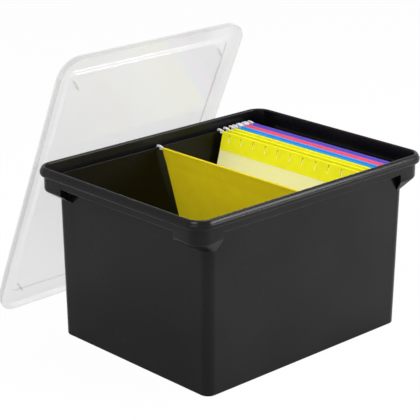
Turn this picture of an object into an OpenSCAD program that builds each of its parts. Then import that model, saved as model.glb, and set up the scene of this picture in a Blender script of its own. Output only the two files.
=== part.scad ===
// File box for letter-size hanging folders.
// X runs along the tub's long side, Y across it, Z up. The origin is on the floor, under the
// middle of the tub. The lid is off, and leans on the tub's back rim.

/* [Tub] */
// Length of the tub over its rim
rim_l = 465; // [461:0.5:467]
// Width of the tub over its rim
rim_w = 354.4; // [352:0.2:355]
// Height of the rim's crest above the floor
tub_h = 268; // [264:1:272]
// Length of the tub's foot
foot_l = 395.6; // [392:0.2:396]
// Width of the tub's foot
foot_w = 315.2; // [314:0.2:316]
// Growth of each wall, outward, for each millimetre of height
draft = 0.0143; // [0.012:0.0001:0.0145]
// Thickness of the tub's walls
wall_t = 2.5; // [2.2:0.1:2.8]
// Thickness of the tub's floor
floor_t = 3; // [2.5:0.1:4]
// Corner radius of the rim
rim_r = 27.5; // [26:0.5:34]
// Corner radius of the foot
foot_r = 14.4; // [12:0.2:15]

/* [Rim and shoulder] */
// How far the rim's bead stands out from the band below it
bead_out = 6; // [5:0.5:7]
// Height of the bead, from its crest to its underside
bead_h = 15; // [13:0.5:16]
// Depth of the shoulder's underside below the crest
shoulder_drop = 26.5; // [25:0.5:28]
// Extra depth of the shoulder's band at the four corners
corner_drop = 10; // [8:0.5:11]
// Height, below the shoulder, at which a corner's sloped underside meets the wall
corner_fair = 26.5; // [22:0.5:28]
// Straight run on a long wall, from a corner's bend to the end of its deeper shoulder
corner_run = 2; // [1.6:0.2:4]
// Place along Y where a corner's deeper shoulder ends
corner_y = 121; // [110:1:125]

/* [Rails] */
// Distance between the middles of the two hanging rails
rail_gauge = 316.4; // [315.8:0.2:316.8]
// Thickness of a rail
rail_t = 2.4; // [2.2:0.1:2.6]
// Depth of a rail's top below the crest
rail_drop = 16.7; // [16:0.1:17]
// Height of the low rails on the two short walls
end_rail_h = 2.5; // [2:0.5:4]

/* [Lid] */
// Length of the lid
lid_l = 471.4; // [471:0.2:474]
// Width of the lid
lid_w = 360.8; // [360.4:0.2:362]
// Height of the lid
lid_h = 11.9; // [11.5:0.1:12.5]
// Thickness of the lid's plastic
lid_t = 1.6; // [1.4:0.1:1.8]
// Depth of the sunken middle of the lid
lid_sink = 4.5; // [4.2:0.1:4.8]
// Width of the raised border beside the sunken middle, along the lid's long sides
lid_border = 22.4; // [21:0.2:24]
// Width of the raised border at the lid's two ends
lid_end_border = 30.6; // [29:0.2:32]
// Corner radius of the lid
lid_r = 34.5; // [33:0.5:36]
// Lean of the lid from upright, in degrees
lid_tilt = 23.1; // [22:0.1:24]
// Length of the short slanting bars under the corners of the lid's sunken middle
rib_l = 22; // [16:1:24]
// Height of a bar
rib_h = 4.2; // [3:0.1:4.4]
// Distance of a bar's middle from the raised border beside it
rib_in = 15; // [13:0.5:17]
// Distance of a bar's middle from the raised border at the leaning lid's head
rib_head = 20; // [16:0.5:24]
// Distance of a bar's middle from the raised border at the leaning lid's foot
rib_foot = 9; // [8.5:0.5:12]
// Turn of the lid about the vertical, in degrees
lid_turn = 1; // [0.6:0.1:1.2]
// Place of the lid's middle along X
lid_x = -49.3; // [-52:0.5:-46]
// Gap between the leaning lid and the rim
lid_gap = 0.3; // [0.2:0.05:0.5]

/* [Folders] */
// Length of a folder's sheet
sheet_w = 298; // [292:1:298]
// Depth of a folder from its rod to its fold
sheet_d = 238; // [230:1:239]
// Thickness of the card
sheet_t = 0.5; // [0.4:0.05:0.6]
// Depth of the flap inside the open folder's sheets
flap_d = 28; // [24:1:34]
// Diameter of a folder's steel rod
rod_d = 2.4; // [2.2:0.1:2.6]
// Thickness of a coated tip
tip_t = 2.2; // [2:0.1:2.4]
// Height of a tip's hook above the rail
tip_rise = 2.8; // [2.4:0.1:3.4]
// Length of a hook's leg behind the rail
tip_leg = 4; // [3:0.2:5]
// Depth of a tip's root below its rod
tip_drop = 3.2; // [2.8:0.1:4.5]
// Place of the open folder's front rod
open_front_x = -3; // [-10:0.5:0]
// Place of the open folder's rear rod
open_rear_x = 125.5; // [120:0.5:130]
// Middle of the closed yellow folder
yellow_x = 144.5; // [143:0.5:145]
// Half the spacing of its two rods
yellow_half = 6; // [4:0.2:6]
// Middle of the blue folder
blue_x = 162.4; // [162:0.2:162.6]
// Half the spacing of its two rods
blue_half = 4.4; // [4.1:0.1:4.5]
// Middle of the red folder
red_x = 175; // [174.8:0.2:175.6]
// Half the spacing of its two rods
red_half = 4; // [3.9:0.05:4.1]
// Middle of the purple folder
purple_x = 188.4; // [187.8:0.2:188.4]
// Half the spacing of its two rods
purple_half = 4.2; // [4:0.1:4.2]

/* [Slots] */
// Spacing of the tab slots
slot_pitch = 26.5; // [24:0.5:27]
// Width of a tab slot
slot_w = 2.2; // [1.6:0.1:2.8]
// Height of a tab slot
slot_h = 12.5; // [9:0.5:14]
// Height of the part of a slot, at its top, that goes through the sheet as well as the flap
slot_through = 3.5; // [2:0.5:6]

/* [Hidden] */

// Segments in a quarter turn of the tub's and the lid's corners
arc_n = 10;
// Length over which the corner's deeper shoulder steps up to the straight one
step = 1;
// Running clearance round a rod in its sheet, and fixed clearance in its tip
rod_play = 0.06;
socket_play = 0.03;
// Gap between the rail's top and the roof of a tip's notch
hang_gap = 0.3;
// Gap on each side of a rail in a tip's notch
notch_gap = 0.9;

corner_x = foot_l / 2 - foot_r - corner_run;
rim_hx = rim_l / 2;
rim_hy = rim_w / 2;
foot_hx = foot_l / 2;
foot_hy = foot_w / 2;
shoulder_z = tub_h - shoulder_drop;
corner_z = shoulder_z - corner_drop;
fair_z = shoulder_z - corner_fair;
band_top_z = tub_h - bead_h;
rail_z = tub_h - rail_drop;
rail_in = rail_gauge / 2 - rail_t / 2;
rail_out = rail_gauge / 2 + rail_t / 2;
// The short walls' rails stand on the wall, inset as far as the long walls' rails are
wall_in_y = foot_hy + draft * shoulder_z - wall_t;
rail_inset = wall_in_y - rail_in;
end_rail_in = foot_hx + draft * shoulder_z - wall_t - rail_inset;
end_rail_out = end_rail_in + rail_t;

rod_z = rail_z - 0.5;
bore_r = rod_d / 2 + rod_play;
tube_r = bore_r + 0.5;
rod_l = rail_gauge - 7.8;
open_half = (open_rear_x - open_front_x) / 2;
open_lean = asin(open_half / sheet_d);
// The two sheets of the open folder end this far short of the plane between them
fold_gap = 0.8;
open_d = sheet_d - fold_gap / sin(open_lean);

// One quarter of the tub's outline, as [x, y, 1 in a corner or else 0, 1 on a long wall], with
// the corner's ends moved by m towards the corner
function tub_quarter(hx, hy, r, m) = concat(
    [[hx, corner_y - step + m, 0, 0], [hx, corner_y + m, 1, 0]],
    [for (i = [0:arc_n]) let (a = 90 * i / arc_n)
        [hx - r + r * cos(a), hy - r + r * sin(a), 1, 0]],
    [[corner_x + m, hy, 1, 1], [corner_x - step + m, hy, 0, 1]]);

// One quarter of a plain rounded rectangle
function plain_quarter(hx, hy, r) = [for (i = [0:arc_n]) let (a = 90 * i / arc_n)
    [hx - r + r * cos(a), hy - r + r * sin(a), 1, 0]];

// The whole outline, anticlockwise from above, from its first quarter q
function whole(q) = let (n = len(q) - 1) concat(q,
    [for (i = [n:-1:0]) [-q[i][0], q[i][1], q[i][2], q[i][3]]],
    [for (p = q) [-p[0], -p[1], p[2], p[3]]],
    [for (i = [n:-1:0]) [q[i][0], -q[i][1], q[i][2], q[i][3]]]);

// A ring of the tub: zx and zy are its heights on the short and the long walls, zc in a corner,
// and d is the draft, which moves each point outward with its height
function tub_ring(hx, hy, r, zx, zy, zc, d = 0, m = 0) = [for (p = whole(tub_quarter(hx, hy, r, m)))
    let (z = p[2] == 1 ? zc : (p[3] == 1 ? zy : zx))
    [p[0] + sign(p[0]) * d * z, p[1] + sign(p[1]) * d * z, z]];

// A level ring of the tub, in by e from the rim's outermost line
function rim_ring(e, z) = tub_ring(rim_hx - e, rim_hy - e, rim_r - e, z, z, z);

// A level ring of the lid, in by e from its edge and by end more from its two ends
function lid_ring(e, z, end = 0) =
    [for (p = whole(plain_quarter(lid_w / 2 - e, lid_l / 2 - e - end, lid_r - e))) [p[0], p[1], z]];

// A closed skin through the rings: flat over the first and the last, whose triangles all start
// at one point in the bend of a corner
module loft(rings) {
    n = len(rings[0]);
    bend = arc_n / 2 + 2;
    last = (len(rings) - 1) * n;
    polyhedron(
        points = [for (ring = rings) for (p = ring) p],
        faces = concat(
            [[for (j = [0:n - 1]) (j + bend) % n]],
            [for (k = [0:n:last - n]) for (j = [0:n - 1]) [k + j, k + n + j, k + n + (j + 1) % n]],
            [for (k = [0:n:last - n]) for (j = [0:n - 1])
                [k + j, k + n + (j + 1) % n, k + (j + 1) % n]],
            [[for (j = [n - 1:-1:0]) last + (j + bend + 1) % n]]));
}

module tub() {
    band_e = bead_out;
    inner_e = bead_out + wall_t;
    channel_z = shoulder_z + wall_t;
    // On the inside, the corner's deeper shoulder ends this much nearer the corner, to leave a
    // wall between, and the rails run on this much further, nearly to the walls they meet
    inset = 1.2;
    run_on = end_rail_in - 2 - corner_x;
    color("#232325") loft([
        // Outside, from the foot up
        tub_ring(foot_hx - 1.5, foot_hy - 1.5, foot_r - 1.5, 0, 0, 0),
        tub_ring(foot_hx - 0.4, foot_hy - 0.4, foot_r - 0.4, 0.4, 0.4, 0.4),
        tub_ring(foot_hx, foot_hy, foot_r, 1.5, 1.5, 1.5, draft),
        tub_ring(foot_hx, foot_hy, foot_r, shoulder_z, shoulder_z, fair_z, draft),
        // The shoulder's underside and its band
        tub_ring(rim_hx - band_e - 1.8, rim_hy - band_e - 1.8, rim_r - band_e - 1.8,
            shoulder_z, shoulder_z, corner_z),
        tub_ring(rim_hx - band_e - 0.4, rim_hy - band_e - 0.4, rim_r - band_e - 0.4,
            shoulder_z + 0.7, shoulder_z + 0.7, corner_z + 0.7),
        tub_ring(rim_hx - band_e, rim_hy - band_e, rim_r - band_e,
            shoulder_z + 2.2, shoulder_z + 2.2, corner_z + 2.2),
        rim_ring(band_e, band_top_z),
        // The rolled bead
        rim_ring(band_e - 1.2, band_top_z + 1.4),
        rim_ring(band_e - 4, band_top_z + 3),
        rim_ring(0.8, band_top_z + 4.4),
        rim_ring(0, band_top_z + 7),
        rim_ring(0.2, tub_h - 4.2),
        rim_ring(1.2, tub_h - 3),
        rim_ring(1.7, tub_h - 2.4),
        rim_ring(3.6, tub_h - 0.8),
        rim_ring(5.4, tub_h),
        rim_ring(6.6, tub_h),
        rim_ring(inner_e - 0.8, tub_h - 0.7),
        rim_ring(inner_e - 0.2, tub_h - 2.2),
        // Down the inside to the channel behind the rails
        rim_ring(inner_e, rail_z),
        tub_ring(rim_hx - inner_e - 0.2, rim_hy - inner_e - 0.2, rim_r - inner_e,
            channel_z, channel_z, corner_z + 3.5, 0, run_on),
        tub_ring(end_rail_out, rail_out, 3,
            channel_z, channel_z, fair_z + 4.8, 0, run_on),
        // The rails
        tub_ring(end_rail_out - 0.1, rail_out - 0.1, 2.9,
            channel_z + end_rail_h, rail_z - 0.5, fair_z + 4.6, 0, run_on),
        tub_ring(end_rail_out - 0.7, rail_out - 0.7, 2.3,
            channel_z + end_rail_h + 0.5, rail_z, fair_z + 4.2, 0, run_on),
        tub_ring(end_rail_in + 0.7, rail_in + 0.7, 1.3,
            channel_z + end_rail_h + 0.5, rail_z, fair_z + 3.6, 0, run_on),
        tub_ring(end_rail_in + 0.1, rail_in + 0.1, 0.7,
            channel_z + end_rail_h, rail_z - 0.5, fair_z + 3.1, 0, run_on),
        // The inside of the walls and the floor
        tub_ring(foot_hx - wall_t, foot_hy - wall_t, foot_r - wall_t,
            shoulder_z - 1.5, shoulder_z - 1.5, fair_z + 0.5, draft, inset),
        tub_ring(foot_hx - wall_t, foot_hy - wall_t, foot_r - wall_t,
            floor_t + 2, floor_t + 2, floor_t + 2, draft),
        tub_ring(foot_hx - wall_t - 2, foot_hy - wall_t - 2, foot_r - wall_t - 2,
            floor_t, floor_t, floor_t)]);
}

// The lid as it lies when closed, its mouth down on z = 0
module closed_lid() {
    skirt_e = 1;
    top_e = lid_border;
    end = lid_end_border - lid_border;
    panel_z = lid_h - lid_sink;
    loft([
        // Outside, from the mouth up
        lid_ring(0, 0),
        lid_ring(0, 1.4),
        lid_ring(skirt_e, 2.3),
        lid_ring(skirt_e + 0.3, lid_h - 1.6),
        lid_ring(skirt_e + 0.9, lid_h - 0.5),
        lid_ring(skirt_e + 2.2, lid_h),
        lid_ring(top_e - 1, lid_h, end),
        lid_ring(top_e - 0.2, lid_h - 0.6, end),
        lid_ring(top_e + 0.6, panel_z + 0.6, end),
        lid_ring(top_e + 1.4, panel_z, end),
        // The middle of the panel
        lid_ring(top_e + 8, panel_z, end)]);
}

// The hollow under the lid
module lid_hollow() {
    skirt_e = 1;
    top_e = lid_border;
    end = lid_end_border - lid_border;
    panel_z = lid_h - lid_sink - lid_t;
    roof_z = lid_h - lid_t;
    loft([
        lid_ring(skirt_e + lid_t - 0.7, -1),
        lid_ring(skirt_e + lid_t - 0.7, 0),
        lid_ring(skirt_e + lid_t - 0.1, 1.8),
        lid_ring(skirt_e + lid_t + 0.2, roof_z - 0.7),
        lid_ring(skirt_e + lid_t + 1, roof_z),
        lid_ring(top_e - lid_t, roof_z, end),
        lid_ring(top_e - lid_t + 0.8, roof_z - 0.6, end),
        lid_ring(top_e - lid_t + 1.6, panel_z + 0.6, end),
        lid_ring(top_e - lid_t + 2.4, panel_z, end),
        lid_ring(top_e + 8, panel_z, end)]);
}

module lid() {
    rib_w = 2 * lid_t;
    rib_x = lid_w / 2 - lid_border - rib_in;
    rib_y = lid_l / 2 - lid_end_border;
    // The bars all slant the same way
    rib_turn = 54;
    // The mouth's far corner rests on the bead's upper edge, lid_gap short of it
    right_x = lid_x + lid_w / 2 * cos(lid_turn);
    touch_z = tub_h - 4.2;
    foot_y = rim_hy - 0.2 + lid_gap + touch_z * tan(lid_tilt) / cos(lid_turn)
        - (right_x - lid_x) * tan(lid_turn);
    color("#dfe2e6") translate([lid_x, foot_y, 0]) rotate([90 - lid_tilt, 0, 180 + lid_turn])
        translate([0, lid_l / 2, 0]) {
            difference() {
                closed_lid();
                lid_hollow();
            }
            for (sx = [-1, 1], end_y = [rib_y - rib_head, rib_foot - rib_y])
                translate([sx * rib_x, end_y, lid_h - lid_sink - lid_t - rib_h])
                    rotate([0, 0, rib_turn])
                        translate([-rib_l / 2, -rib_w / 2, 0])
                            cube([rib_l, rib_w, rib_h + lid_t / 2]);
        }
}

// Steel rod of a folder, along Y
module rod(x) {
    color("#b9bcc0") translate([x, 0, rod_z]) rotate([90, 0, 0])
        cylinder(d = rod_d, h = rod_l, center = true, $fn = 48);
}

// Coated tips on both ends of the rod at x: each is a plate, notched to hang on a rail
module tip_pair(x) {
    roof_z = rail_z + hang_gap;
    top_z = roof_z + tip_rise;
    root_z = rod_z - tip_drop;
    leg_z = roof_z - tip_leg;
    in_y = rail_in - notch_gap;
    out_y = rail_out + notch_gap;
    root_y = sheet_w / 2 + 0.6;
    bevel = notch_gap * 0.9;
    for (s = [0, 1]) mirror([0, s, 0]) translate([x, 0, 0]) difference() {
        rotate([90, 0, 90]) linear_extrude(height = tip_t, center = true) polygon([
            [root_y, root_z + bevel], [in_y - 2 * bevel, root_z], [in_y - bevel, root_z],
            [in_y, root_z + bevel], [in_y, roof_z - bevel], [in_y + bevel, roof_z],
            [out_y - bevel, roof_z], [out_y, roof_z - bevel], [out_y, leg_z + bevel / 2],
            [out_y + bevel / 2, leg_z], [out_y + tip_t - bevel / 2, leg_z],
            [out_y + tip_t, leg_z + bevel / 2], [out_y + tip_t, top_z - 2 * bevel],
            [out_y + tip_t / 2, top_z - bevel / 3], [out_y, top_z], [in_y - 2 * bevel, top_z],
            [in_y - 4 * bevel, top_z - bevel], [root_y, rod_z + rod_d]]);
        translate([0, root_y - 1, rod_z]) rotate([-90, 0, 0])
            cylinder(r = rod_d / 2 + socket_play, h = rod_l / 2 - root_y + 1.3, $fn = 48);
    }
}

// The sleeve round a rod, and the flap that closes it: side is 1 where the flap lies on the +X face
module rod_sleeve(side) {
    flap_t = 0.45;
    hull() {
        circle(r = tube_r, $fn = 48);
        translate([side > 0 ? -sheet_t / 2 : -sheet_t / 2 - flap_t, -flap_d])
            square([sheet_t + flap_t, flap_d / 2]);
    }
}

// Sheet of the open folder, hung from the rod at x. side is 1 where its inner face looks along +X
module open_sheet(x, side) {
    translate([x, 0, rod_z]) rotate([0, -side * open_lean, 0]) rotate([90, 0, 0])
        linear_extrude(height = sheet_w, center = true) difference() {
            union() {
                translate([-sheet_t / 2, -open_d]) square([sheet_t, open_d]);
                rod_sleeve(side);
            }
            circle(r = bore_r, $fn = 48);
        }
}

// Slots for index tabs in the flap of the sheet at x: the top of each goes through the sheet too
module tab_slots(x, side) {
    top = tube_r + 0.3;
    translate([x, 0, rod_z]) rotate([0, -side * open_lean, 0])
        for (i = [-5:5]) translate([0, i * slot_pitch - slot_w / 2, -top]) {
            translate([-rod_d, 0, -slot_through])
                cube([2 * rod_d, slot_w, slot_through]);
            translate([side > 0 ? sheet_t / 2 : -rod_d - sheet_t / 2, 0, -slot_h])
                cube([rod_d, slot_w, slot_h]);
        }
}

// Sheet of a closed folder: a narrow U hung from two rods, each half away from its middle
module closed_sheet(x, half) {
    translate([x, 0, rod_z]) rotate([90, 0, 0]) linear_extrude(height = sheet_w, center = true)
        difference() {
            union() {
                for (s = [-1, 1]) translate([s * half, 0]) {
                    rod_sleeve(-s);
                    translate([-sheet_t / 2, half - sheet_d]) square([sheet_t, sheet_d - half]);
                }
                translate([0, half - sheet_d]) difference() {
                    circle(r = half + sheet_t / 2, $fn = 48);
                    circle(r = half - sheet_t / 2, $fn = 48);
                    translate([-2 * half, 0]) square([4 * half, 2 * half]);
                }
            }
            for (s = [-1, 1]) translate([s * half, 0]) circle(r = bore_r, $fn = 48);
        }
}

module closed_tips(x, half) {
    color("#f4f4f6") tip_pair(x - half);
    color("#f4f4f6") tip_pair(x + half);
}

module open_yellow_front_sheet() color("#d9c21c") open_sheet(open_front_x, 1);
module open_yellow_front_rod() rod(open_front_x);
module open_yellow_front_tips() color("#f4f4f6") tip_pair(open_front_x);
module open_yellow_rear_sheet() color("#fbee1a") difference() {
    open_sheet(open_rear_x, -1);
    tab_slots(open_rear_x, -1);
}
module open_yellow_rear_rod() rod(open_rear_x);
module open_yellow_rear_tips() color("#f4f4f6") tip_pair(open_rear_x);

module yellow_sheet() color("#fbee1a") closed_sheet(yellow_x, yellow_half);
module yellow_front_rod() rod(yellow_x - yellow_half);
module yellow_rear_rod() rod(yellow_x + yellow_half);
module yellow_tips() closed_tips(yellow_x, yellow_half);
module blue_sheet() color("#1e8ee6") closed_sheet(blue_x, blue_half);
module blue_front_rod() rod(blue_x - blue_half);
module blue_rear_rod() rod(blue_x + blue_half);
module blue_tips() closed_tips(blue_x, blue_half);
module red_sheet() color("#f9485e") closed_sheet(red_x, red_half);
module red_front_rod() rod(red_x - red_half);
module red_rear_rod() rod(red_x + red_half);
module red_tips() closed_tips(red_x, red_half);
module purple_sheet() color("#5f48bc") closed_sheet(purple_x, purple_half);
module purple_front_rod() rod(purple_x - purple_half);
module purple_rear_rod() rod(purple_x + purple_half);
module purple_tips() closed_tips(purple_x, purple_half);

tub();
lid();
open_yellow_front_sheet();
open_yellow_front_rod();
open_yellow_front_tips();
open_yellow_rear_sheet();
open_yellow_rear_rod();
open_yellow_rear_tips();
yellow_sheet();
yellow_front_rod();
yellow_rear_rod();
yellow_tips();
blue_sheet();
blue_front_rod();
blue_rear_rod();
blue_tips();
red_sheet();
red_front_rod();
red_rear_rod();
red_tips();
purple_sheet();
purple_front_rod();
purple_rear_rod();
purple_tips();
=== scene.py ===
"""The look of the portable file box: a black tub, its leaning lid and its hanging folders.

Lengths in this file's shape functions are in millimetres, in the part's own frame, and go into
the meshes in metres. A ring is a closed line round the tub or the lid; a skin is a stack of rings.
"""
import math

import bpy
import numpy as np
from mathutils import Matrix, Vector


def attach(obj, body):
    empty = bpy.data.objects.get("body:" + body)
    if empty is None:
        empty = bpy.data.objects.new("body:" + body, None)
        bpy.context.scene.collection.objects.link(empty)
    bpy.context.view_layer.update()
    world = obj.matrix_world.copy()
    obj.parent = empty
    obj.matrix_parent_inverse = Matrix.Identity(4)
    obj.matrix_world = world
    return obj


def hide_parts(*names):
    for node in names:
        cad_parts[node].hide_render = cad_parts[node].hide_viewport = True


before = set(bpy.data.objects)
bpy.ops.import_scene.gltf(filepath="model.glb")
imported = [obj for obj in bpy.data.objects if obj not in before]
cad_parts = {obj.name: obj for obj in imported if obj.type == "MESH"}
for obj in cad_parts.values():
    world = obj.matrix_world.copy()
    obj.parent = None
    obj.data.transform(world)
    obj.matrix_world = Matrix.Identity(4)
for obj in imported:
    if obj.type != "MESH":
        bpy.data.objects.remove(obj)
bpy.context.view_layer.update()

# The tub: _HX and _HY are half lengths along X and Y, _R corner radii, _Z heights from the ground
RIM_HX, RIM_HY, TUB_H = 232.5, 177.2, 268.0
FOOT_HX, FOOT_HY, FOOT_R = 197.8, 157.6, 14.4
DRAFT, WALL, FLOOR = 0.0143, 2.5, 3.0
RIM_R, BEAD_OUT, BEAD_H = 27.5, 6.0, 15.0
SHOULDER_Z = TUB_H - 26.5
CORNER_Z = SHOULDER_Z - 10
FAIR_Z = SHOULDER_Z - 26.5
BAND_TOP_Z = TUB_H - BEAD_H
CORNER_X = FOOT_HX - FOOT_R - 2
CORNER_Y = 121.0
RAIL_Z = TUB_H - 16.7
RAIL_IN, RAIL_OUT = 157.0, 159.4
END_RAIL_IN = FOOT_HX - FOOT_HY + RAIL_IN
END_RAIL_OUT = END_RAIL_IN + RAIL_OUT - RAIL_IN
# The lid
LID_L, LID_W, LID_H, LID_T = 471.4, 360.8, 11.9, 1.6
LID_SINK, LID_BORDER, LID_END, LID_R = 4.5, 22.4, 8.2, 34.5
LID_TILT, LID_TURN, LID_X, LID_GAP = 23.1, 1.0, -49.3, 0.3
# The four bars near the lid's corners
RIB_L, RIB_W, RIB_H, RIB_TURN = 22.0, 3.2, 4.2, 54.0
RIB_IN, RIB_HEAD, RIB_FOOT = 15.0, 20.0, 9.0
# The folders: each closed one has the middle of its two rods along X and half their distance
SHEET_W, SHEET_D, FLAP = 298.0, 238.0, 28.0
ROD_Z = RAIL_Z - 0.5
OPEN_FRONT_X, OPEN_REAR_X = -3.0, 125.5
LEAN = math.asin((OPEN_REAR_X - OPEN_FRONT_X) / 2 / SHEET_D)
CLOSED = {"yellow": (144.5, 6.0), "blue": (162.4, 4.4), "red": (175.0, 4.0), "purple": (188.4, 4.2)}
# The camera: its place in metres, its lens in millimetres and its two angles in degrees
CAMERA_PLACE, CAMERA_LENS = (-1.60045, -1.64824, 0.98933), 140.613
CAMERA_AZIMUTH, CAMERA_ELEVATION = -43.35, 19.23
# The paper floor's radius
FLOOR_R = 4000.0


def linear(hex_colour):
    """The linear RGBA of an sRGB hex colour."""
    c = np.array([int(hex_colour[i:i + 2], 16) for i in (1, 3, 5)]) / 255
    c = np.where(c <= 0.04045, c / 12.92, ((c + 0.055) / 1.055) ** 2.4)
    return (*[float(v) for v in c], 1.0)


def node(tree, kind, values=(), links=(), **settings):
    """Adds a node: settings are its attributes, values its constants, links its inputs' sources."""
    n = tree.nodes.new(kind)
    for name, value in settings.items():
        setattr(n, name, value)
    for name, value in dict(values).items():
        n.inputs[name].default_value = value
    for name, source in dict(links).items():
        tree.links.new(source, n.inputs[name])
    return n


def material(name):
    """An empty material with its tree and its output."""
    m = bpy.data.materials.new(name)
    m.use_nodes = True
    m.node_tree.nodes.clear()
    return m, m.node_tree, m.node_tree.nodes.new("ShaderNodeOutputMaterial")


def ramp(tree, source, stops):
    """A colour ramp over source; stops is a list of (place, linear colour)."""
    n = node(tree, "ShaderNodeValToRGB", links={"Fac": source})
    while len(n.color_ramp.elements) > 1:
        n.color_ramp.elements.remove(n.color_ramp.elements[-1])
    n.color_ramp.elements[0].position, n.color_ramp.elements[0].color = stops[0]
    for place, colour in stops[1:]:
        n.color_ramp.elements.new(place).color = colour
    return n.outputs["Color"]


def skin_mesh(name, rings, smooth_deg=35):
    """A closed skin through a stack of equal rings, capped flat over the first and the last.

    Point j of ring k joins point j of ring k + 1 and point j + 1 of its own ring.
    """
    rings = np.asarray(rings, float)
    rows, n = rings.shape[:2]
    j = np.arange(n)
    k = np.arange(rows - 1)[:, None] * n
    quads = np.stack([k + j, k + (j + 1) % n, k + n + (j + 1) % n, k + n + j], axis=-1).reshape(-1, 4)
    middles = rings[[0, -1]].mean(axis=1)
    points = np.concatenate([rings.reshape(-1, 3), middles])
    first, last = rows * n, rows * n + 1
    top = (rows - 1) * n
    caps = np.concatenate([np.stack([np.full(n, first), (j + 1) % n, j], -1),
                           np.stack([np.full(n, last), top + j, top + (j + 1) % n], -1)])
    return finished(name, points, [q.tolist() for q in quads] + [t.tolist() for t in caps], smooth_deg)


def finished(name, points, faces, smooth_deg=35):
    """Puts points in millimetres and faces into a smooth-shaded object with sharp edges kept."""
    mesh = bpy.data.meshes.new(name)
    mesh.from_pydata((np.asarray(points) / 1000).tolist(), [], faces)
    mesh.update()
    mesh.polygons.foreach_set("use_smooth", np.ones(len(mesh.polygons), bool))
    mesh.set_sharp_from_angle(angle=math.radians(smooth_deg))
    obj = bpy.data.objects.new(name, mesh)
    bpy.context.scene.collection.objects.link(obj)
    return obj


def soft_step(t):
    """Smooth step from 0 to 1: 3 t squared minus 2 t cubed, held to 0..1 at its ends."""
    t = np.clip(t, 0, 1)
    return t * t * (3 - 2 * t)


def round_whole(q):
    """The whole closed line from its first quarter, anticlockwise from above, by mirroring it."""
    flip = lambda a, sx, sy: a * np.array([sx, sy] + [1] * (a.shape[1] - 2))
    return np.concatenate([q, flip(q[::-1], -1, 1), flip(q, -1, -1), flip(q[::-1], 1, -1)])


def tub_ring(hx, hy, r, zx, zy=None, zc=None, d=0.0, m=0.0, run=2.0):
    """A line round the tub: a rectangle with corner arcs of radius r.

    Its height is zx on the short walls, zy on the long ones and zc round each corner, with a
    smooth step of length run between; m moves the steps towards the corners. Each point moves
    outward by d times its height.
    """
    zy = zx if zy is None else zy
    zc = zx if zc is None else zc
    a = np.linspace(0, math.pi / 2, 21)
    s = np.linspace(0, 1, 7)
    w = soft_step(s)
    short = np.stack([np.full(7, hx), CORNER_Y + m + run * (s - 1), zx + (zc - zx) * w], -1)
    arc = np.stack([hx - r + r * np.cos(a), hy - r + r * np.sin(a), np.full(21, zc)], -1)
    long = np.stack([CORNER_X + m + run * (s[::-1] - 1), np.full(7, hy), zy + (zc - zy) * w[::-1]], -1)
    ring = round_whole(np.concatenate([short, arc, long]).astype(float))
    ring[:, :2] += np.sign(ring[:, :2]) * d * ring[:, 2:]
    return ring


def rounded(stack, steps=5):
    """Rounds a stack of (ring, reach): each ring becomes a quadratic curve that starts and ends
    reach away from it on the straight lines to its two neighbours, or less where they are near."""
    rings = [np.asarray(r, float) for r, _ in stack]
    out = [rings[0]]
    for k in range(1, len(rings) - 1):
        p, reach = rings[k], stack[k][1]
        if not reach:
            out.append(p)
            continue
        ends = []
        for q in (rings[k - 1], rings[k + 1]):
            length = np.linalg.norm(q - p, axis=1, keepdims=True)
            ends.append(p + (q - p) * np.minimum(reach / length, 0.45))
        for t in np.linspace(0, 1, steps):
            out.append((1 - t) ** 2 * ends[0] + 2 * t * (1 - t) * p + t * t * ends[1])
    return out + [rings[-1]]


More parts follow.
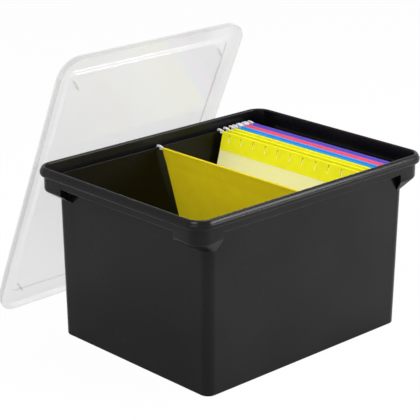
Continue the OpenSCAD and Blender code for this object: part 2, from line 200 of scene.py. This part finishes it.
def tub_shell():
    """The tub as one skin: foot, wall, shoulder, band, rolled bead, then the inside to the floor.

    Each line of the stack has the reach of its rounding beside it. The short steps in and up,
    bare numbers here, are the roll of the bead and the rounding of the rails.
    """
    def rim(e, z):
        return tub_ring(RIM_HX - e, RIM_HY - e, RIM_R - e, z)

    run_on = END_RAIL_IN - 2 - CORNER_X
    inner = BEAD_OUT + WALL
    channel = SHOULDER_Z + WALL
    low = channel + 2.5
    return skin_mesh("tub_shell", rounded([
        (tub_ring(FOOT_HX - 8, FOOT_HY - 8, FOOT_R - 8, 0), 0),
        (tub_ring(FOOT_HX, FOOT_HY, FOOT_R, 0), 2.2),
        (tub_ring(FOOT_HX, FOOT_HY, FOOT_R, SHOULDER_Z, SHOULDER_Z, FAIR_Z, DRAFT), 1.2),
        (tub_ring(RIM_HX - BEAD_OUT, RIM_HY - BEAD_OUT, RIM_R - BEAD_OUT,
                  SHOULDER_Z, SHOULDER_Z, CORNER_Z), 3.2),
        (rim(BEAD_OUT, BAND_TOP_Z), 0.8),
        (rim(1.4, BAND_TOP_Z + 1.2), 1.6),
        (rim(0, BAND_TOP_Z + 3.6), 1.6),
        (rim(0, BAND_TOP_Z + 8.6), 0.8),
        (rim(1.3, BAND_TOP_Z + 9.6), 0.4),
        (rim(1.4, BAND_TOP_Z + 10.8), 0.8),
        (rim(3.2, TUB_H - 0.7), 1.6),
        (rim(6.4, TUB_H + 0.2), 1.8),
        (rim(8.3, TUB_H - 1.6), 1.2),
        (rim(inner, RAIL_Z), 0.5),
        (tub_ring(RIM_HX - inner - 0.2, RIM_HY - inner - 0.2, RIM_R - inner,
                  channel, channel, CORNER_Z + 3.5, 0, run_on), 1.5),
        (tub_ring(END_RAIL_OUT, RAIL_OUT, 3, channel, channel, FAIR_Z + 4.8, 0, run_on), 0.8),
        (tub_ring(END_RAIL_OUT - 0.1, RAIL_OUT - 0.1, 2.9,
                  low + 0.5, RAIL_Z, FAIR_Z + 4.4, 0, run_on), 0.7),
        (tub_ring(END_RAIL_IN + 0.1, RAIL_IN + 0.1, 0.7,
                  low + 0.5, RAIL_Z, FAIR_Z + 3.6, 0, run_on), 0.7),
        (tub_ring(FOOT_HX - WALL, FOOT_HY - WALL, FOOT_R - WALL,
                  SHOULDER_Z - 1.5, SHOULDER_Z - 1.5, FAIR_Z + 0.5, DRAFT, 1.2), 2.0),
        (tub_ring(FOOT_HX - WALL, FOOT_HY - WALL, FOOT_R - WALL, FLOOR), 4.0),
        (tub_ring(FOOT_HX - WALL - 8, FOOT_HY - WALL - 8, 4, FLOOR), 0)]))


def lid_place():
    """The matrix, in millimetres, that leans the closed lid against the tub's back rim."""
    turn, tilt = math.radians(LID_TURN), math.radians(LID_TILT)
    right = LID_X + LID_W / 2 * math.cos(turn)
    touch = RIM_HY - 0.2 + LID_GAP
    foot = touch + (TUB_H - 4.2) * math.tan(tilt) / math.cos(turn) - (right - LID_X) * math.tan(turn)
    return np.array(Matrix.Translation((LID_X, foot, 0))
                    @ Matrix.Rotation(math.pi + turn, 4, "Z")
                    @ Matrix.Rotation(math.pi / 2 - tilt, 4, "X")
                    @ Matrix.Translation((0, LID_L / 2, 0)))


def leaned(points):
    """Points of the closed lid, moved to where the lid leans."""
    m = lid_place()
    return np.asarray(points, float) @ m[:3, :3].T + m[:3, 3]


def lid_ring(e, z, end=0.0):
    """A level line round the closed lid, in by e from its edge and by end more from its two ends."""
    a = np.linspace(0, math.pi / 2, 25)
    r = LID_R - e
    x = LID_W / 2 - e - r + r * np.cos(a)
    y = LID_L / 2 - e - end - r + r * np.sin(a)
    return round_whole(np.stack([x, y, np.full(25, z)], -1))


def lid_shell():
    """The lid as one skin: the underside from its middle out, the mouth, the skirt and the top.

    The short steps, bare numbers here, are the roundings of the mouth, the skirt and the panel.
    """
    roof, panel, b = LID_H - LID_T, LID_H - LID_SINK, LID_BORDER
    under = panel - LID_T
    return skin_mesh("lid_shell", [leaned(r) for r in rounded([
        (lid_ring(b + 8, under, LID_END), 0),
        (lid_ring(b + 1.4, under, LID_END), 1.0),
        (lid_ring(b - 1.8, roof, LID_END), 1.0),
        (lid_ring(1 + LID_T + 0.3, roof), 1.2),
        (lid_ring(1 + LID_T - 0.2, 1.6), 0.6),
        (lid_ring(0.9, 1.2), 0),
        (lid_ring(0.8, 0), 0.4),
        (lid_ring(0, 0), 0.5),
        (lid_ring(0, 1.6), 0.5),
        (lid_ring(1, 2.1), 0.5),
        (lid_ring(1.3, LID_H), 2.2),
        (lid_ring(b - 1, LID_H, LID_END), 1.0),
        (lid_ring(b + 1.4, panel, LID_END), 1.2),
        (lid_ring(b + 8, panel, LID_END), 0)])])


def lid_ribs():
    """Four short bars under the sunken panel's corners, all slanting the same way.

    Each is a stack of rounded lines: a rectangle whose corners follow a power of cosine and sine,
    drawn in towards the bar's crest.
    """
    panel = LID_H - LID_SINK - LID_T
    middle_x, panel_y = LID_W / 2 - LID_BORDER - RIB_IN, LID_L / 2 - LID_BORDER - LID_END
    a = np.linspace(0, 2 * math.pi, 40, endpoint=False)
    along = np.sign(np.cos(a)) * np.abs(np.cos(a)) ** 0.5
    across = -np.sign(np.sin(a)) * np.abs(np.sin(a)) ** 0.6
    turn = math.radians(RIB_TURN)
    spin = np.array([[math.cos(turn), math.sin(turn)], [-math.sin(turn), math.cos(turn)]])
    # Each line's place in from the bar's side and down from the panel
    lines = ((0, -0.4), (0.1, 1.5), (0.3, RIB_H - 0.9), (0.7, RIB_H - 0.3), (1.2, RIB_H))
    ribs = []
    for side in (-1, 1):
        for y in (panel_y - RIB_HEAD, RIB_FOOT - panel_y):
            rings = []
            for e, depth in lines:
                flat = np.stack([along * (RIB_L / 2 - e), across * (RIB_W / 2 - e)], -1)
                level = np.full(len(a), panel - depth)
                rings.append(leaned(np.column_stack([flat @ spin + (side * middle_x, y), level])))
            ribs.append(skin_mesh(f"lid_rib_{len(ribs) + 1}", rings))
    return ribs


def hook_outline():
    """The outline of a coated tip, seen along X: a plate with a notch that hangs on the rail.

    b is the cut of its corners, t the width of the leg outside the rail, and root where it starts,
    just past the sheet's edge.
    """
    roof, b = RAIL_Z + 0.3, 0.81
    top, leg, low = roof + 2.8, roof - 4, ROD_Z - 3.2
    inn, out, root, t = RAIL_IN - 0.9, RAIL_OUT + 0.9, SHEET_W / 2 + 0.6, 2.2
    return np.array([
        (root, low + b), (inn - 2 * b, low), (inn - b, low), (inn, low + b), (inn, roof - b),
        (inn + b, roof), (out - b, roof), (out, roof - b), (out, leg + b / 2), (out + b / 2, leg),
        (out + t - b / 2, leg), (out + t, leg + b / 2), (out + t, top - 2 * b),
        (out + t / 2, top - b / 3), (out, top), (inn - 2 * b, top), (inn - 4 * b, top - b),
        (root, ROD_Z + 2.4)])


def hooks(name, rods):
    """The coated tips of the rods at these places along X, as one mesh.

    Each tip is the hook's outline, carried along X with its edge drawn in by a quarter circle at
    both faces; the other end's tips are its mirror image in Y.
    """
    line = hook_outline()
    ahead, behind = np.roll(line, -1, 0) - line, line - np.roll(line, 1, 0)
    unit = lambda v: v / np.linalg.norm(v, axis=1, keepdims=True)
    inward = unit(unit(ahead) + unit(behind)) @ np.array([[0, 1], [-1, 0]])
    n, edge, half = len(line), 0.55, 1.1
    turn = np.linspace(0, math.pi / 2, 5)
    along = np.concatenate([-half + edge * (1 - np.cos(turn)), half - edge * (1 - np.cos(turn[::-1]))])
    drawn = np.concatenate([edge * (1 - np.sin(turn)), edge * (1 - np.sin(turn[::-1]))])
    rows = len(along)
    grid = line[None] + inward[None] * drawn[:, None, None]
    j = np.arange(n)
    k = np.arange(rows - 1)[:, None] * n
    quads = np.stack([k + j, k + (j + 1) % n, k + n + (j + 1) % n, k + n + j], -1).reshape(-1, 4)
    faces = quads.tolist() + [list(range(n))[::-1], list(range((rows - 1) * n, rows * n))]
    points, every = [], []
    for x in rods:
        for side in (1, -1):
            base = len(points) * rows * n
            y, z = grid[..., 0].ravel() * side, grid[..., 1].ravel()
            points.append(np.column_stack([np.repeat(along + x, n), y, z]))
            every += [[base + v for v in (f if side > 0 else f[::-1])] for f in faces]
    return finished(name, np.concatenate(points), every, 50)


# Black polypropylene, injection moulded: a soft gloss that runs along the rim and the edges, with
# a faint orange peel that breaks it up on the flat walls.
def moulded_black_polypropylene():
    m, t, out = material("moulded_black_polypropylene")
    place = node(t, "ShaderNodeTexCoord").outputs["Object"]
    # Orange peel about 4 mm across; the cloudy patches are 90 mm across.
    peel = node(t, "ShaderNodeTexNoise", {"Scale": 250.0, "Detail": 2.0}, {"Vector": place})
    cloud = node(t, "ShaderNodeTexNoise", {"Scale": 11.0, "Detail": 3.0}, {"Vector": place})
    rough = node(t, "ShaderNodeMapRange",
                 {"From Min": 0.3, "From Max": 0.7, "To Min": 0.22, "To Max": 0.29},
                 {"Value": cloud.outputs["Fac"]})
    bump = node(t, "ShaderNodeBump", {"Strength": 0.05, "Distance": 0.0005},
                {"Height": peel.outputs["Fac"]})
    colour = ramp(t, cloud.outputs["Fac"], [(0.35, linear("#0c0c0c")), (0.65, linear("#101010"))])
    s = node(t, "ShaderNodeBsdfPrincipled", {"IOR": 1.49, "Specular IOR Level": 0.15},
             {"Base Color": colour, "Roughness": rough.outputs["Result"],
              "Normal": bump.outputs["Normal"]})
    t.links.new(s.outputs["BSDF"], out.inputs["Surface"])
    return m


# Natural polypropylene, injection moulded, 1.6 mm thick: faintly milky, lets most of the light
# behind it through, and mirrors the bright room at its edges and a little of what is before it.
def natural_polypropylene():
    m, t, out = material("natural_polypropylene")
    place = node(t, "ShaderNodeTexCoord").outputs["Object"]
    # Flow marks of the melt, about 110 mm apart, and a fine grain of 3 mm
    flow = node(t, "ShaderNodeTexNoise", {"Scale": 9.0, "Detail": 4.0, "Distortion": 0.6},
                {"Vector": place})
    grain = node(t, "ShaderNodeTexNoise", {"Scale": 330.0, "Detail": 1.0}, {"Vector": place})
    colour = ramp(t, flow.outputs["Fac"], [(0.3, linear("#d2d2d6")), (0.7, linear("#dadadd"))])
    bump = node(t, "ShaderNodeBump", {"Strength": 0.04, "Distance": 0.0005},
                {"Height": grain.outputs["Fac"]})
    s = node(t, "ShaderNodeBsdfPrincipled", {"Roughness": 0.5, "IOR": 1.49},
             {"Base Color": colour, "Normal": bump.outputs["Normal"]})
    glow = node(t, "ShaderNodeBsdfTranslucent", {}, {"Color": colour})
    body = node(t, "ShaderNodeMixShader", {"Fac": 0.35},
                {1: s.outputs["BSDF"], 2: glow.outputs["BSDF"]})
    clear = node(t, "ShaderNodeBsdfTransparent", {"Color": linear("#f8f8f8")})
    mix = node(t, "ShaderNodeMixShader", {"Fac": 0.9},
               {1: body.outputs["Shader"], 2: clear.outputs["BSDF"]})
    # The share that each face mirrors: 0.03 seen square on and 0.9 on edge, and between them by the
    # fifth power of one less the cosine of the angle of view
    facing = node(t, "ShaderNodeLayerWeight", {"Blend": 0.5}, {"Normal": bump.outputs["Normal"]})
    edge = node(t, "ShaderNodeMath", {1: 5.0}, {0: facing.outputs["Facing"]}, operation="POWER")
    share = node(t, "ShaderNodeMapRange", {"To Min": 0.03, "To Max": 0.9},
                 {"Value": edge.outputs[0]})
    shine = node(t, "ShaderNodeBsdfAnisotropic", {"Color": linear("#ffffff"), "Roughness": 0.15},
                 {"Normal": bump.outputs["Normal"]})
    skin = node(t, "ShaderNodeMixShader", {},
                {"Fac": share.outputs["Result"], 1: mix.outputs["Shader"], 2: shine.outputs["BSDF"]})
    t.links.new(skin.outputs["Shader"], out.inputs["Surface"])
    return m


def card(name, dyed, glow_share, plain=None, rod=None, lean=0.0):
    """Dyed card, calendered: a dull face with fine fibres; plain is the colour of its other side.

    glow_share is the share of the light that goes on through the face: more through one sheet
    than through two that lie together.
    rod is the sheet's rod as (x, z) in metres and lean its lean from upright: the plain side shows
    on the sheet's own inner face, below the flap and through the slots, and not on the flap that
    lies 0.7 mm out from the sheet's middle. A score line runs 28 mm below the rod.
    """
    m, t, out = material(name)
    coords = node(t, "ShaderNodeTexCoord")
    place = coords.outputs["Object"]
    # Fibres 2 mm long, drawn coarser than real ones so that they show, over a 25 mm mottle
    fibre = node(t, "ShaderNodeTexNoise", {"Scale": 500.0, "Detail": 3.0, "Distortion": 1.5},
                 {"Vector": place})
    mottle = node(t, "ShaderNodeTexNoise", {"Scale": 40.0, "Detail": 2.0}, {"Vector": place})
    base = np.array(linear(dyed))
    tint = lambda k: (*[float(min(v, 1)) for v in base[:3] * k], 1.0)
    colour = ramp(t, mottle.outputs["Fac"], [(0.3, tint(0.96)), (0.7, tint(1.03))])
    height = fibre.outputs["Fac"]
    if plain:
        flap = FLAP / 1000
        down = Vector((math.sin(lean), 0, -math.cos(lean)))
        face = Vector((math.cos(lean), 0, math.sin(lean))) * (1 if lean > 0 else -1)
        start = node(t, "ShaderNodeVectorMath", {1: (rod[0], 0, rod[1])}, {0: place},
                     operation="SUBTRACT")
        depth = node(t, "ShaderNodeVectorMath", {1: down}, {0: start.outputs[0]},
                     operation="DOT_PRODUCT")
        facing = node(t, "ShaderNodeVectorMath", {1: face}, {0: coords.outputs["Normal"]},
                      operation="DOT_PRODUCT")
        offset = node(t, "ShaderNodeVectorMath", {1: face}, {0: start.outputs[0]},
                      operation="DOT_PRODUCT")
        own = node(t, "ShaderNodeMath", {1: 0.00045}, {0: offset.outputs["Value"]},
                   operation="LESS_THAN")
        inner = node(t, "ShaderNodeMath", {1: 0.5}, {0: facing.outputs["Value"]},
                     operation="GREATER_THAN")
        both = node(t, "ShaderNodeMath", {}, {0: own.outputs[0], 1: inner.outputs[0]},
                    operation="MULTIPLY")
        mix = node(t, "ShaderNodeMix", {7: linear(plain)}, {0: both.outputs[0], 6: colour},
                   data_type="RGBA")
        colour = mix.outputs[2]
        # A score line, 0.8 mm to each side of the flap's edge
        near = node(t, "ShaderNodeMath", {1: flap}, {0: depth.outputs["Value"]}, operation="SUBTRACT")
        width = node(t, "ShaderNodeMath", {}, {0: near.outputs[0]}, operation="ABSOLUTE")
        score = node(t, "ShaderNodeMapRange", {"From Max": 0.0008, "To Min": -0.6, "To Max": 0.0},
                     {"Value": width.outputs[0]})
        height = node(t, "ShaderNodeMath", {}, {0: height, 1: score.outputs["Result"]},
                      operation="ADD").outputs[0]
    bump = node(t, "ShaderNodeBump", {"Strength": 0.12, "Distance": 0.0004}, {"Height": height})
    s = node(t, "ShaderNodeBsdfPrincipled",
             {"Roughness": 0.62, "IOR": 1.45, "Specular IOR Level": 0.35},
             {"Base Color": colour, "Normal": bump.outputs["Normal"]})
    glow = node(t, "ShaderNodeBsdfTranslucent", {}, {"Color": colour})
    mix = node(t, "ShaderNodeMixShader", {"Fac": glow_share},
               {1: s.outputs["BSDF"], 2: glow.outputs["BSDF"]})
    t.links.new(mix.outputs["Shader"], out.inputs["Surface"])
    return m


# Steel wire, cold drawn: bright, with lengthwise draw marks about 0.3 mm apart.
def drawn_steel():
    m, t, out = material("drawn_steel")
    place = node(t, "ShaderNodeTexCoord").outputs["Object"]
    stretched = node(t, "ShaderNodeMapping", {"Scale": (3000.0, 20.0, 3000.0)}, {"Vector": place})
    marks = node(t, "ShaderNodeTexNoise", {"Scale": 1.0, "Detail": 2.0},
                 {"Vector": stretched.outputs["Vector"]})
    rough = node(t, "ShaderNodeMapRange", {"To Min": 0.24, "To Max": 0.4},
                 {"Value": marks.outputs["Fac"]})
    colour = ramp(t, marks.outputs["Fac"], [(0.3, linear("#b1b4b8")), (0.7, linear("#c4c6c9"))])
    s = node(t, "ShaderNodeBsdfPrincipled", {"Metallic": 1.0},
             {"Base Color": colour, "Roughness": rough.outputs["Result"]})
    t.links.new(s.outputs["BSDF"], out.inputs["Surface"])
    return m


# White vinyl, dip coated: smooth and rounded, with a wet gloss and a faint violet cast.
def dipped_white_vinyl():
    m, t, out = material("dipped_white_vinyl")
    place = node(t, "ShaderNodeTexCoord").outputs["Object"]
    # Sags of the dip, 6 mm apart
    sag = node(t, "ShaderNodeTexNoise", {"Scale": 160.0, "Detail": 1.0}, {"Vector": place})
    colour = ramp(t, sag.outputs["Fac"], [(0.3, linear("#f2eef8")), (0.7, linear("#fbfaff"))])
    bump = node(t, "ShaderNodeBump", {"Strength": 0.1, "Distance": 0.0004},
                {"Height": sag.outputs["Fac"]})
    s = node(t, "ShaderNodeBsdfPrincipled", {"Roughness": 0.3, "IOR": 1.5},
             {"Base Color": colour, "Normal": bump.outputs["Normal"]})
    t.links.new(s.outputs["BSDF"], out.inputs["Surface"])
    return m


def stand_in(piece, nodes, body, mat):
    """Gives a new piece its material, puts it on its body and hides the CAD nodes it stands for."""
    piece.data.materials.append(mat)
    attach(piece, body)
    if nodes:
        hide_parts(*nodes)


black = moulded_black_polypropylene()
milky = natural_polypropylene()
steel = drawn_steel()
vinyl = dipped_white_vinyl()
# The open folder's two sheets are the same card, but the front sheet's dyed and plain colours are
# darker and more orange than the rear sheet's: painted shade for the front sheet's shaded face.
front_card_painted_shade = card("yellow_card_front_painted_shade", "#ffec20", 0.25, "#f4f0a8",
                  (OPEN_FRONT_X / 1000, ROD_Z / 1000), LEAN)
rear_card = card("yellow_card_rear", "#fffb1c", 0.08, "#fefcc2",
                 (OPEN_REAR_X / 1000, ROD_Z / 1000), -LEAN)
closed_cards = {"yellow": card("yellow_card", "#fff81c", 0.08),
                "blue": card("blue_card", "#2ba4fa", 0.08),
                "red": card("red_card", "#ff6480", 0.08),
                "purple": card("purple_card", "#6a5cd4", 0.08)}

stand_in(tub_shell(), ["tub"], "tub_body", black)
stand_in(lid_shell(), ["lid"], "lid_body", milky)
for rib in lid_ribs():
    stand_in(rib, [], "lid_body", milky)
stand_in(hooks("open_front_hooks", [OPEN_FRONT_X]), ["open_yellow_front_tips"],
         "open_front_rod", vinyl)
stand_in(hooks("open_rear_hooks", [OPEN_REAR_X]), ["open_yellow_rear_tips"],
         "open_rear_rod", vinyl)
for colour_name, (middle, half) in CLOSED.items():
    stand_in(hooks(f"{colour_name}_hooks", [middle - half, middle + half]), [f"{colour_name}_tips"],
             f"{colour_name}_folder", vinyl)


def finish_node(name, mat):
    """Puts a material on every slot of a CAD node."""
    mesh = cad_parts[name].data
    mesh.materials.clear()
    mesh.materials.append(mat)


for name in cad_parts:
    if name.endswith("_rod"):
        finish_node(name, steel)
    elif name == "open_yellow_front_sheet":
        finish_node(name, front_card_painted_shade)
    elif name == "open_yellow_rear_sheet":
        finish_node(name, rear_card)
    elif name.endswith("_sheet"):
        finish_node(name, closed_cards[name.split("_")[0]])


def seamless_paper():
    """White studio paper: it shows white to the camera, and keeps a faint trace of the shadow."""
    m, t, out = material("seamless_paper")
    place = node(t, "ShaderNodeTexCoord").outputs["Object"]
    tooth = node(t, "ShaderNodeTexNoise", {"Scale": 400.0, "Detail": 2.0}, {"Vector": place})
    colour = ramp(t, tooth.outputs["Fac"], [(0.3, linear("#f0f0f0")), (0.7, linear("#f6f6f6"))])
    path = node(t, "ShaderNodeLightPath")
    lit = node(t, "ShaderNodeBsdfDiffuse", {}, {"Color": colour})
    bright = node(t, "ShaderNodeEmission", {"Color": (1, 1, 1, 1), "Strength": 1.0})
    share = node(t, "ShaderNodeMath", {1: 0.97}, {0: path.outputs["Is Camera Ray"]},
                 operation="MULTIPLY")
    mix = node(t, "ShaderNodeMixShader", {},
               {"Fac": share.outputs[0], 1: lit.outputs["BSDF"], 2: bright.outputs["Emission"]})
    t.links.new(mix.outputs["Shader"], out.inputs["Surface"])
    return m


def studio_floor():
    """A level disc of paper under everything, a hair below the floor's height."""
    count, sink = 64, -0.5
    a = np.linspace(0, 2 * math.pi, count, endpoint=False)
    ring = np.column_stack([FLOOR_R * np.cos(a), FLOOR_R * np.sin(a), np.full(count, sink)])
    floor = finished("studio_floor", np.vstack([ring, [[0, 0, sink]]]),
                     [[i, (i + 1) % count, count] for i in range(count)])
    floor.data.materials.append(seamless_paper())


def lamp(name, place, target, size, power):
    """A square soft light of this size, in metres, that faces target."""
    data = bpy.data.lights.new(name, "AREA")
    data.shape, data.size, data.energy = "SQUARE", size, power
    light = bpy.data.objects.new(name, data)
    bpy.context.scene.collection.objects.link(light)
    light.location = place
    light.rotation_euler = (Vector(target) - Vector(place)).to_track_quat("-Z", "Y").to_euler()


def pale_world():
    """A dim room that shows white to the camera, in gloss and through clear plastic."""
    world = bpy.data.worlds.new("pale_studio")
    bpy.context.scene.world = world
    world.use_nodes = True
    t = world.node_tree
    t.nodes.clear()
    out = t.nodes.new("ShaderNodeOutputWorld")
    path = node(t, "ShaderNodeLightPath").outputs
    seen = node(t, "ShaderNodeMath", {}, {0: path["Is Camera Ray"], 1: path["Is Glossy Ray"]},
                operation="MAXIMUM")
    seen = node(t, "ShaderNodeMath", {}, {0: seen.outputs[0], 1: path["Is Transmission Ray"]},
                operation="MAXIMUM")
    dim = node(t, "ShaderNodeBackground", {"Color": (1, 1, 1, 1), "Strength": 0.25})
    white = node(t, "ShaderNodeBackground", {"Color": (1, 1, 1, 1), "Strength": 1.0})
    mix = node(t, "ShaderNodeMixShader", {},
               {"Fac": seen.outputs[0], 1: dim.outputs[0], 2: white.outputs[0]})
    t.links.new(mix.outputs["Shader"], out.inputs["Surface"])


def photo_camera():
    """The camera at the photograph's place, turned by its azimuth and its elevation."""
    az, el = math.radians(CAMERA_AZIMUTH), math.radians(CAMERA_ELEVATION)
    back = Vector((math.sin(az) * math.cos(el), -math.cos(az) * math.cos(el), math.sin(el)))
    right = Vector((math.cos(az), math.sin(az), 0))
    up = back.cross(right)
    data = bpy.data.cameras.new("camera")
    data.sensor_width, data.lens, data.sensor_fit = 36.0, CAMERA_LENS, "HORIZONTAL"
    data.clip_start, data.clip_end = 0.1, 30.0
    camera = bpy.data.objects.new("camera", data)
    bpy.context.scene.collection.objects.link(camera)
    turned = Matrix([[right[i], up[i], back[i], 0] for i in range(3)] + [[0, 0, 0, 1]])
    camera.matrix_world = Matrix.Translation(CAMERA_PLACE) @ turned
    bpy.context.scene.camera = camera


studio_floor()
lamp("key", (1.5, -2.2, 0.8), (0, 0, 0.15), 1.2, 74)
lamp("top", (0.9, -0.1, 2.3), (0, 0, 0), 1.4, 24)
lamp("fill", (-2.0, -0.5, 1.9), (0, 0, 0.15), 1.2, 44)
pale_world()
photo_camera()
bpy.context.scene.view_settings.view_transform = "Standard"
